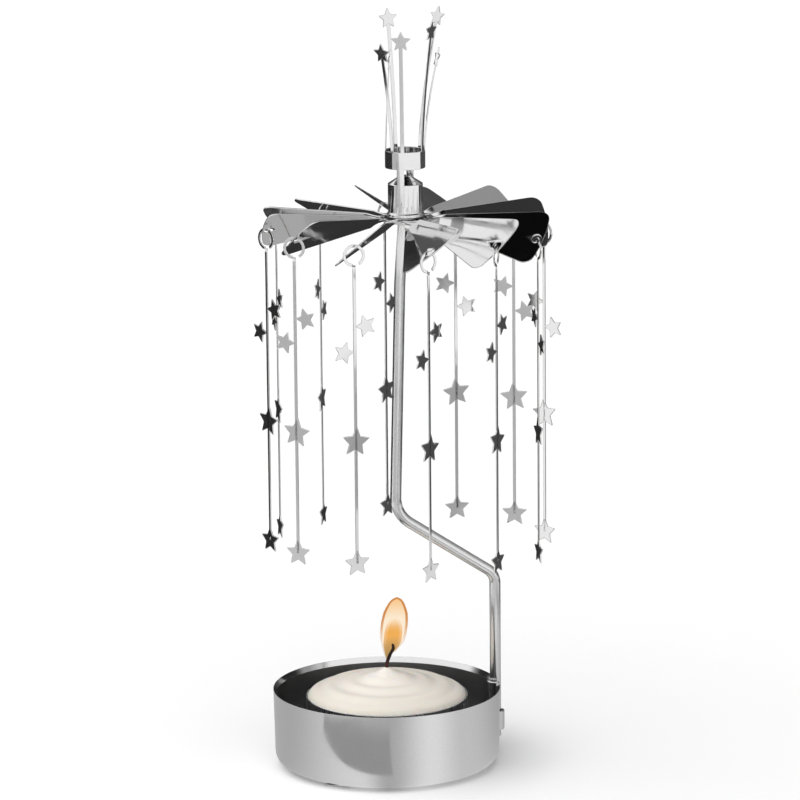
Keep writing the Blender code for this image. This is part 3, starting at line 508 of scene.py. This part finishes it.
def post_surface():
    """A round section carried along leg, knee, ramp and mast, drawn to a needle at the end."""
    place, _ = post_place()
    foot = place + np.array((0, 0, SOCKET_BOTTOM + CLEARANCE))
    knee = place + np.array((0, 0, LOWER_BEND))
    neck, kink = np.array((-MAST_LEAN, 0, UPPER_BEND)), np.array((-KINK_LEAN, 0, KINK_HEIGHT))
    tip = np.array((0, 0, POINT_TOP))
    shoulder = tip - (tip - kink) / np.linalg.norm(tip - kink) * POINT_LENGTH
    path = rounded(np.stack((foot, knee, neck, kink, shoulder)), (0, *BEND_RADII, 0), 24)
    needle = shoulder + np.linspace(0, 1, NEEDLE_STEPS)[1:, None] * (tip - shoulder)
    chamfer = foot + np.array(((0, 0, 0), (0, 0, POST_CHAMFER)))
    path = np.concatenate((chamfer, path[1:], needle))
    scale = np.ones(len(path))
    scale[0] = CHAMFER_SHARE
    scale[-len(needle):] = np.linspace(1, NEEDLE_END, NEEDLE_STEPS)[1:] ** NEEDLE_POWER
    tangent = np.gradient(path, axis=0)
    tangent /= np.linalg.norm(tangent, axis=1)[:, None]
    ramp = neck - knee
    across = np.cross(tangent, np.array((-ramp[1], ramp[0], 0)) / math.hypot(ramp[0], ramp[1]))
    across /= np.linalg.norm(across, axis=1)[:, None]
    shape = polar((0, 0), ROD_RADIUS, 0, math.tau, 40)[:-1]
    return sweep(path, across, np.cross(tangent, across), shape, scale)


# Rotor

def blade_point(x, y, lift, number):
    """A point of the flat blank, raised by lift, after the neck is twisted about its own line and
    bent down about the neck's root; both grow evenly along the neck and then hold."""
    root = WHEEL_RING + BLADE_SLIT
    share = np.clip((x - root) / NECK_LENGTH, 0, 1)
    pitch, droop = (angle * share for angle in np.radians(BLADE_BENDS[number]))
    along = x - root
    y, z = y * np.cos(pitch) - lift * np.sin(pitch), y * np.sin(pitch) + lift * np.cos(pitch)
    return np.stack((root + along * np.cos(droop) + z * np.sin(droop), y,
                     z * np.cos(droop) - along * np.sin(droop) + WHEEL_HEIGHT), -1)


def blade_outline():
    """The blade's border: a sector less half a slit on either side, with rounded corners, cut
    into even steps."""
    half = math.pi / BLADE_COUNT
    inset = BLADE_SLIT / 2
    root = WHEEL_RING - inset
    low = np.array(((root, inset / math.cos(half) - root * math.tan(half)),))
    border = np.concatenate((low, rounded_tip(), low * (1, -1), low))
    length = np.concatenate(((0,), np.cumsum(np.linalg.norm(np.diff(border, axis=0), axis=1))))
    even = np.linspace(0, length[-1], int(length[-1] / BORDER_STEP))[:-1]
    return np.stack([np.interp(even, length, border[:, i]) for i in (0, 1)], 1)


def rounded_tip():
    """The tip's arc with a corner circle at both ends that touches the arc and the straight side."""
    half = math.pi / BLADE_COUNT
    gap = BLADE_SLIT / 2 + BLADE_CORNER
    reach = math.sqrt((WHEEL_RADIUS - BLADE_CORNER) ** 2 - gap ** 2)
    side = np.array((math.cos(half), math.sin(half)))
    inward = np.array((math.sin(half), -math.cos(half)))
    middle = side * reach + inward * gap
    end = math.atan2(middle[1], middle[0])
    corner = polar(middle, BLADE_CORNER, math.atan2(-inward[1], -inward[0]), end, 12)
    arc = polar((0, 0), WHEEL_RADIUS, end, -end, 32)[1:-1]
    return np.concatenate((corner, arc, corner[::-1] * (1, -1)))[::-1]


def blade_surface(number):
    """A sheet between its border and its hole: straight lines run from the hole's circle to the
    border, over a small bevel to the back and home, so rows go round the sheet's thickness."""
    border = blade_outline()
    eye = np.array((math.sqrt(WHEEL_RADIUS ** 2 - EYE_SHIFT ** 2) - EYE_INSET, EYE_SHIFT))
    spoke = border - eye
    outward = spoke / np.linalg.norm(spoke, axis=1)[:, None]
    hole = eye + outward * EYE_RADIUS
    coarse, fine = np.linspace(0, 0.8, 9), np.linspace(0.8, 1, 17)
    share = np.concatenate((coarse, fine[1:]))
    line = hole[None] + (border - hole)[None] * share[:, None, None]
    line[0] += outward * SHEET_EDGE
    line[-1] -= outward * SHEET_EDGE
    top = np.concatenate((hole[None], line, border[None]))
    lift = np.full(len(top), WHEEL_SHEET / 2)
    lift[[0, -1]] -= SHEET_EDGE
    flat = np.concatenate((top, top[::-1]))
    lift = np.concatenate((lift, -lift[::-1]))[:, None]
    points = blade_point(flat[..., 0], flat[..., 1], lift + 0 * flat[..., 0], number)
    angle = BLADE_START + number * math.tau / BLADE_COUNT
    return grid(points @ turn_about_z(angle).T, wrap_rows=True, wrap_columns=True)


def turn_about_z(angle):
    """The matrix that turns points about the upright axis."""
    c, s = math.cos(angle), math.sin(angle)
    return np.array(((c, -s, 0), (s, c, 0), (0, 0, 1)))


def wheel_surfaces():
    """Twelve blades and the uncut ring that joins them."""
    top, under = WHEEL_HEIGHT + WHEEL_SHEET / 2, WHEEL_HEIGHT - WHEEL_SHEET / 2
    bore = SPIGOT_RADIUS + CLEARANCE
    ring = rounded(((bore, top), (WHEEL_RING, top), (WHEEL_RING, under), (bore, under)),
                   SHEET_EDGE, 2, closed=True)
    return [lathe(np.concatenate((ring, ring[:1])), 96)] + [blade_surface(i) for i in range(BLADE_COUNT)]


def hub_surface():
    """Turned cap: nose, cone, straight side, lip, spigot, flange and bore, turned about Z."""
    top = WHEEL_HEIGHT + WHEEL_SHEET / 2 + CLEARANCE
    under = WHEEL_HEIGHT - WHEEL_SHEET / 2 - CLEARANCE
    bottom = under - FLANGE_HEIGHT
    nose = SIDE_TOP + HUB_CONE
    profile = rounded((
        (0, nose), (HUB_NOSE, nose), (HUB_RADIUS, SIDE_TOP), (HUB_RADIUS, top + HUB_LIP_HEIGHT),
        (HUB_RADIUS + HUB_LIP, top + HUB_LIP_HEIGHT - HUB_LIP), (HUB_RADIUS + HUB_LIP, top),
        (SPIGOT_RADIUS, top), (SPIGOT_RADIUS, under), (FLANGE_RADIUS, under), (FLANGE_RADIUS, bottom),
        (BORE_RADIUS, bottom), (BORE_RADIUS, POINT_TOP - SEAT_DEPTH), (0, POINT_TOP + CLEARANCE)),
        HUB_EDGE, 4)
    return lathe(profile[::-1], 128)


def round_strip(start, end, low, high, steps):
    """A strip of the crown's sheet rolled to the band's radius: a rounded section carried round
    part of a circle about the rotor's axis."""
    turn = np.linspace(start, end, steps + 1)[:, None]
    spoke = np.concatenate((np.cos(turn), np.sin(turn), 0 * turn), 1)
    path = spoke * BAND_RADIUS + np.array((0, 0, (low + high) / 2))
    return sweep(path, spoke, np.array((0, 0, -1.0)), section(BAND_SHEET, high - low, BAND_EDGE))


def stem_surfaces(angle, rise, reach):
    """A ribbon that leaves the band upright and leans out with the power of its height, and the
    star on its end, square to the ribbon there."""
    out = np.array((math.cos(angle), math.sin(angle), 0))
    side = np.array((-math.sin(angle), math.cos(angle), 0))
    share = np.linspace(0, 1, 33)[:, None]
    lean = BAND_RADIUS + (reach - BAND_RADIUS) * share ** STEM_CURVE
    height = BAND_TOP - STEM_ROOT + (rise + STEM_ROOT) * share
    path = out * lean + np.array((0, 0, 1)) * height
    tangent = np.gradient(path, axis=0)
    tangent /= np.linalg.norm(tangent, axis=1)[:, None]
    ribbon = sweep(path, side, np.cross(tangent, side), section(STEM_WIDTH, STEM_SHEET, STRIP_EDGE))
    return [ribbon, star(CROWN_STAR, math.pi / 2, BAND_SHEET, path[-1], side, tangent[-1])]


def crown_surfaces():
    """Rolled band with an open seam, two legs and the star-tipped stems."""
    seam = BAND_SEAM_ANGLE + BAND_SEAM / 2
    half = LEG_WIDTH / 2 / BAND_RADIUS
    parts = [round_strip(seam, seam + math.tau - BAND_SEAM, BAND_BOTTOM, BAND_TOP, 128)]
    low, high = SIDE_TOP - LEG_REACH, BAND_BOTTOM + BAND_HEIGHT / 2
    for angle in (LEG_ANGLE, LEG_ANGLE + math.pi):
        parts.append(round_strip(angle - half, angle + half, low, high, 12))
    for degrees, rise, reach in STEMS:
        parts += stem_surfaces(math.radians(degrees), rise, reach)
    return parts


# Strands

def strand_surfaces(joint, twist):
    """One stamped strand in the upright plane through its hinge line: a split ring, a strip and
    four stars, laid out from the inner top of the ring.  Below the ring the strip is twisted about
    its own line, evenly over a short stretch."""
    pivot, axis = np.array(joint["pos_m"]), np.array(joint["axis"])
    across, up = -axis, np.array((0.0, 0.0, 1.0))
    normal = np.cross(across, up)
    ring = pivot - up * RING_BORE
    bottom = -math.pi / 2
    turn = np.linspace(bottom - RING_ROOT, bottom + RING_ROOT - math.tau + RING_SPLIT, 65)[:, None]
    spoke = across * np.cos(turn) + up * np.sin(turn)
    round_part = sweep(ring + spoke * (RING_BORE + RING_BAND / 2), spoke, normal,
                       section(RING_BAND, STRAND_SHEET, STRIP_EDGE))
    run = np.linspace(RING_BORE + RING_BAND / 2, END_STAR_DROP, 80)[:, None]
    turn = twist * np.clip((run - RING_BORE - RING_BAND) / TWIST_REACH, 0, 1)
    side = across * np.cos(turn) - normal * np.sin(turn)
    strip = sweep(ring - up * run, side, np.cross(side, up), section(STRIP_WIDTH, STRAND_SHEET, STRIP_EDGE))
    across = side[-1]
    stars = [star(size, turned, STRAND_SHEET, ring + across * aside - up * drop, across, up)
             for size, turned, aside, drop in (
                 (SIDE_STAR, math.pi, SIDE_STAR, RIGHT_STAR_DROP),
                 (SIDE_STAR, 0, -SIDE_STAR, LEFT_STAR_DROP),
                 (MID_STAR, MID_STAR_TURN, 0, MID_STAR_DROP),
                 (END_STAR, math.pi / 2, 0, END_STAR_DROP))]
    return [round_part, strip] + stars


# Tealight and flame

def shell_surface():
    """Drawn foil cup with a small rolled rim, turned about the candle's axis."""
    r, t = TEALIGHT_RADIUS, TEALIGHT_WALL
    rim = t * RIM_ROUNDING
    profile = rounded(((0, TEALIGHT_FLOOR + t), (r - t, TEALIGHT_FLOOR + t), (r - t, TEALIGHT_RIM),
                       (r, TEALIGHT_RIM), (r, TEALIGHT_FLOOR), (0, TEALIGHT_FLOOR)),
                      (0, TEALIGHT_CORNER - t, rim, rim, TEALIGHT_CORNER, 0), 6)
    return lathe(profile, 192, CUP_AXIS)


def wax_surface():
    """A dome turned about the candle's axis: a smooth curve through the mound's heights with
    small cosine ripples, closed below at the shell's floor."""
    outer = TEALIGHT_RADIUS - TEALIGHT_WALL - CLEARANCE / 3
    share = np.linspace(0, 1, 160)
    knots = np.array(MOUND)
    rough = np.interp(share, knots[:, 0], knots[:, 1])
    window = np.hanning(13)
    padded = np.pad(rough, len(window) // 2, mode="reflect", reflect_type="odd")
    height = np.convolve(padded, window / window.sum(), "valid")
    radius = share * outer
    fade = np.clip((radius - RIPPLE_START) / RIPPLE_FADE_IN, 0, 1)
    fade *= np.clip((outer - radius) / RIPPLE_FADE_OUT, 0, 1)
    ripple = RIPPLE_HEIGHT * np.cos(radius * math.tau / RIPPLE_LENGTH + RIPPLE_PHASE) * fade
    top = np.stack((radius, TEALIGHT_RIM + WAX_MOUND * height + ripple), 1)
    floor = TEALIGHT_FLOOR + TEALIGHT_WALL + CLEARANCE
    under = np.array(((outer, floor + TEALIGHT_CORNER), (outer - TEALIGHT_CORNER, floor), (0, floor)))
    return lathe(np.concatenate((top, under))[::-1], 160, CUP_AXIS)


def wick_line(steps):
    """The bare wick's curl, as points spread evenly along its height."""
    knots = np.array(((0, -1.0), (0, 0.0)) + WICK_CURL)
    share = np.linspace(-1.0, 1, steps)
    smooth = np.interp(share, knots[:, 1], knots[:, 0])
    window = np.ones(9)
    padded = np.pad(smooth, len(window) // 2, mode="edge")
    smooth = np.convolve(padded, window / window.sum(), "valid")
    return np.stack((smooth * WICK_RADIUS * 2, 0 * share, WAX_PEAK + WICK_RISE * share), 1) + CUP_AXIS


def wick_surface():
    """Twisted cord: a lobed section that turns as it climbs the wick's line."""
    path = wick_line(70)
    turn = np.linspace(0, math.tau, 25)[:-1]
    twist = np.linspace(0, WICK_TWIST, len(path))[:, None]
    reach = WICK_RADIUS * (WICK_CORE + WICK_LOBE * np.cos(WICK_LOBES * (turn - twist)))
    thin = np.interp(np.linspace(0, 1, len(path)), *np.transpose(WICK_TAPER))[:, None]
    ring = np.stack((reach * np.cos(turn) * thin, reach * np.sin(turn) * thin, 0 * reach), -1)
    return grid(path[:, None] + ring, wrap_columns=True)


def flame_shell(size, low, high):
    """A flame round its leaning middle line: circles whose half width follows the flame's outline,
    scaled by size, between two shares of its height; closed by shrinking to the middle."""
    knots = np.array(FLAME)
    share = (1 - np.cos(np.linspace(0, math.pi, FLAME_ROWS))) / 2
    base, tip = knots[0, 0], knots[-1, 0]
    height = base + (tip - base) * (low + (high - low) * share)
    inner = base + (tip - base) * share
    middle = smooth_line(height, knots[:, 0], knots[:, 1])
    half = np.maximum(smooth_line(inner, knots[:, 0], knots[:, 2]), 0) * size
    turn = np.arange(FLAME_SIDES) * math.tau / FLAME_SIDES
    points = np.stack((middle[:, None] + half[:, None] * np.cos(turn), half[:, None] * np.sin(turn),
                       height[:, None] + 0 * turn), -1)
    return grid(points[:, ::-1] + CUP_AXIS, wrap_columns=True)


def smooth_line(at, where, value):
    """A smooth curve through knots: the mean of straight runs over a short sliding window."""
    window = np.linspace(-1, 1, 21) * FLAME_WINDOW
    return np.interp(at[:, None] + window, where, value).mean(1)


# Pieces

MARKS = wear_group()
CHROME = chrome("bright_chrome", MARKS)
CUP_CHROME = chrome("cup_chrome", MARKS, satin=0.05)
# The lining's low base tone (bright=0.40) is painted shade that darkens the hollow inside the cup; satin
# only roughens it.
SHADED_LINING = chrome("sooted_chrome", MARKS, bright=0.40, satin=0.28)
POST_CHROME = chrome("post_chrome", MARKS, satin=0.14)
FOIL, WAX, CHARRED = aluminium(), wax(), charred()

piece("cup", cup_outside(), CUP_CHROME, "stand", ["candle_cup"])
piece("cup_lining", cup_inside(), SHADED_LINING, "stand", ["candle_cup"])
piece("post_wire", [post_surface()], POST_CHROME, "stand", ["post"])
piece("hub", [hub_surface()], CHROME, "rotor", ["pivot_hub"])
piece("wheel", wheel_surfaces(), CHROME, "rotor", ["rotor_wheel"])
piece("crown", crown_surfaces(), CHROME, "rotor", ["star_crown"])
for number, degrees in enumerate(STRAND_TWISTS, 1):
    strand = f"strand_{number:02d}"
    surfaces = strand_surfaces(JOINTS[strand + "_swing"], math.radians(degrees))
    piece(strand + "_stars", surfaces, CHROME, strand, ["star_" + strand])
piece("foil_cup", [shell_surface()], FOIL, "tealight", ["tealight_cup"])
piece("wax_fill", [wax_surface()], WAX, "tealight", ["candle_wax"])
piece("wick", [wick_surface()], CHARRED, "tealight", ["candle_wick"])
for name, shells, colours, covers, front in FLAME_LAYERS:
    look = flame_look(name, colours, covers, front)
    flame = piece(name, [flame_shell(*shell) for shell in shells], look, "tealight", ())
    flame.visible_glossy = False
tab = frame["nodes"]["wick_sustainer"]
tab.data.materials.clear()
tab.data.materials.append(FOIL)


# Studio

def stage_plane(name, corners, height, look):
    """A level sheet through its corners on plan."""
    mesh = bpy.data.meshes.new(name)
    mesh.from_pydata([(x, y, height) for x, y in corners], [], [tuple(range(len(corners)))])
    mesh.materials.append(look)
    made = bpy.data.objects.new(name, mesh)
    bpy.context.scene.collection.objects.link(made)
    return made


def matt(name, tone):
    """Matt paper of an even grey."""
    made, nodes, shader = material(name)
    nodes.feed(shader, {"Base Color": (*grey(tone), 1), "Roughness": 1.0, "Specular IOR Level": 0.0})
    return made


def box(x0, y0, x1, y1):
    """Corners of a rectangle on plan."""
    return ((x0, y0), (x1, y0), (x1, y1), (x0, y1))


def card(name, corners, level, shade):
    """Glowing sheet on the floor in place of lit paper, that only the metal's reflections see; higher levels
    lie on top.  Its glow is painted light that takes no shadow, so it stays bright under the cup too.  Its
    shade is an even grey or one of the two kinds below."""
    made, nodes, shader = material(name)
    colour = shade(nodes, nodes.place()) if callable(shade) else (*grey(shade), 1)
    glow = nodes.add("ShaderNodeEmission", {"Color": colour})
    nodes.tree.nodes.remove(shader)
    nodes.feed(nodes.tree.nodes["Material Output"], {"Surface": glow.outputs[0]})
    paper = stage_plane(name, corners, CARD_STEP * level, made)
    paper.visible_camera = False
    paper.visible_diffuse = False
    paper.visible_shadow = False


def slope(tone, far_tone, start, end):
    """A grey that changes smoothly from a start to an end on plan."""
    run = np.subtract(end, start)
    way = (*(run / (run @ run)), 0)
    shift = float(np.dot(start, way[:2]))

    def shade(nodes, place):
        along = nodes.vector("DOT_PRODUCT", place, way, "Value")
        return nodes.rise(along, shift, shift + 1, tone, far_tone, interpolation_type="SMOOTHSTEP")
    return shade


def fan(middle, tones):
    """A grey that eases from tone to tone with the direction from a middle, in degrees to the right
    of the front."""
    def shade(nodes, place):
        spoke = nodes.vector("SUBTRACT", place, (*middle, 0))
        x, y, _ = nodes.add("ShaderNodeSeparateXYZ", {0: spoke}).outputs
        angle = nodes.maths("ARCTAN2", x, nodes.maths("MULTIPLY", y, -1.0))
        share = nodes.rise(angle, -math.pi, math.pi)
        return nodes.ramp(share, [(0.5 + degrees / 360, grey(tone)) for degrees, tone in tones], "EASE")
    return shade


def world():
    """A white studio to the camera.  Metal sees white walls with a grey stretch behind on the right,
    a ceiling that is black at the left and lower and dark grey at the right, a dim strip low down at
    the back and a nearly black one below it.  The pairs are parts of a way's x, y or z between which
    one tone gives way to the next."""
    made = bpy.data.worlds.new("studio")
    bpy.context.scene.world = made
    made.use_nodes = True
    made.node_tree.nodes.clear()
    nodes = Shader(made.node_tree)
    way = nodes.add("ShaderNodeTexCoord").outputs["Generated"]
    x, y, z = nodes.add("ShaderNodeSeparateXYZ", {0: way}).outputs
    right = nodes.rise(x, 0.05, 0.35)
    right_rear = nodes.maths("MULTIPLY", right, nodes.rise(y, -0.45, -0.05))
    low_back = nodes.maths("MULTIPLY", nodes.rise(y, 0.35, 0.60), nodes.rise(z, 0.55, 0.40))
    horizon = nodes.maths("MULTIPLY", nodes.rise(y, 0.08, 0.20), nodes.rise(z, 0.25, 0.15))
    above = nodes.blend(right, nodes.rise(z, 0.82, 0.94), nodes.rise(z, 0.70, 0.78))
    walls = nodes.blend(low_back, nodes.blend(right_rear, WALL_TONE, RIGHT_TONE), BACK_TONE)
    ceiling = nodes.blend(right, LEFT_CEILING, RIGHT_CEILING)
    tone = nodes.blend(above, nodes.blend(horizon, walls, HORIZON_TONE), ceiling)
    seen = nodes.blend(nodes.add("ShaderNodeLightPath").outputs["Is Camera Ray"], tone, 1.0)
    colour = nodes.add("ShaderNodeCombineColor", {"Red": seen, "Green": seen, "Blue": seen}).outputs[0]
    light = nodes.add("ShaderNodeBackground", {"Color": colour, "Strength": 1.0})
    nodes.add("ShaderNodeOutputWorld", {"Surface": light.outputs[0]})


def sun(name, way, spread, power):
    """A broad, even light from one direction that shows in no reflection."""
    light = bpy.data.lights.new(name, "SUN")
    light.energy, light.angle = power, spread
    made = bpy.data.objects.new(name, light)
    made.rotation_euler = Vector(way).to_track_quat("Z", "Y").to_euler()
    made.visible_glossy = False
    bpy.context.scene.collection.objects.link(made)


def camera():
    """The photo's view: distance, rise and roll about the aim."""
    back = Vector((0, -math.cos(CAMERA_RISE), math.sin(CAMERA_RISE)))
    up = Vector((0, math.sin(CAMERA_RISE), math.cos(CAMERA_RISE)))
    right = Vector((1, 0, 0))
    c, s = math.cos(CAMERA_ROLL), math.sin(CAMERA_ROLL)
    lens = bpy.data.cameras.new("photo")
    lens.lens, lens.sensor_width = CAMERA_LENS, CAMERA_FILM
    lens.clip_end = CAMERA_REACH
    made = bpy.data.objects.new("photo", lens)
    axes = Matrix((right * c + up * s, up * c - right * s, back)).transposed()
    made.matrix_world = Matrix.Translation(CAMERA_AIM + back * CAMERA_DISTANCE) @ axes.to_4x4()
    bpy.context.scene.collection.objects.link(made)
    bpy.context.scene.camera = made


stage_plane("floor", box(-6, -6, 6, 6), 0.0, matt("studio_floor", 0.97))
card("left_paper", ((-0.9, -0.17), (-0.9, -0.70), (0, -0.70), (0, 0.10), (-0.11, 0.10), (-0.11, -0.06),
                    (-0.15, -0.085), (-0.24, -0.10), (-0.26, -0.16)),
     1, slope(0.72, 0.54, (0, -0.12), (0, -0.19)))
card("right_paper", box(0, -0.34, 0.6, 0.10), 1, slope(0.62, 0.42, (0.05, 0), (0.10, 0)))
card("end_paper", ((0.125, -0.150), (0.133, -0.161), (0.166, -0.200), (0.195, -0.215), (0.225, -0.15),
                   (0.250, 0), (0.250, 0.043), (0.170, 0.043), (0.170, -0.03)), 4, 0.85)
card("side_paper", box(0.25, -0.54, 0.37, -0.432), 2, 0.30)
card("back_card", box(-0.9, 0.10, 0.9, 0.9), 1, 0.035)
card("back_left_card", ((-0.9, 0.075), (-0.030, 0.075), (-0.030, 0.088), (0.05, 0.088), (0.05, 0.10),
                        (-0.9, 0.10)), 2, 0.035)
card("left_card", ((-0.15, -0.004), (-0.30, -0.004), (-0.31, -0.046), (-0.42, -0.046), (-0.43, -0.004),
                   (-0.56, -0.004), (-0.6, -0.13), (-1.2, -0.22), (-1.2, 0.9), (-0.15, 0.9)), 3, 0.03)
card("far_paper", box(-0.4, -0.70, 0, -0.5), 2, 0.65)
card("right_card", ((0.12, 0.045), (0.22, 0.045), (0.24, -0.05), (0.6, -0.05), (0.62, 0.17), (0.95, 0.27),
                    (0.95, 0.9), (0.12, 0.9)), 3, 0.08)
# The cup's paper also glows right under the cup, where real paper would lie in the cup's shadow: painted
# light that the cup's lower corner reflects.
card("cup_paper", polar(CUP_AXIS, CUP_PAPER_RADIUS, 0, math.tau, 32)[:-1], 3,
     fan(CUP_PAPER_MIDDLE, CUP_TONES))
card("cup_shade", ((-0.003, -0.0375), (-0.003, -0.086), (-0.024, -0.081), (-0.042, -0.072),
                   (-0.058, -0.059), (-0.070, -0.044), (-0.060, -0.0375)),
     4, slope(0.34, 0.48, (0, -0.060), (0, -0.080)))
world()
sun("overhead", (-0.25, -0.35, 1.0), math.radians(75), 1.75)
camera()
bpy.context.scene.view_settings.view_transform = "Standard"
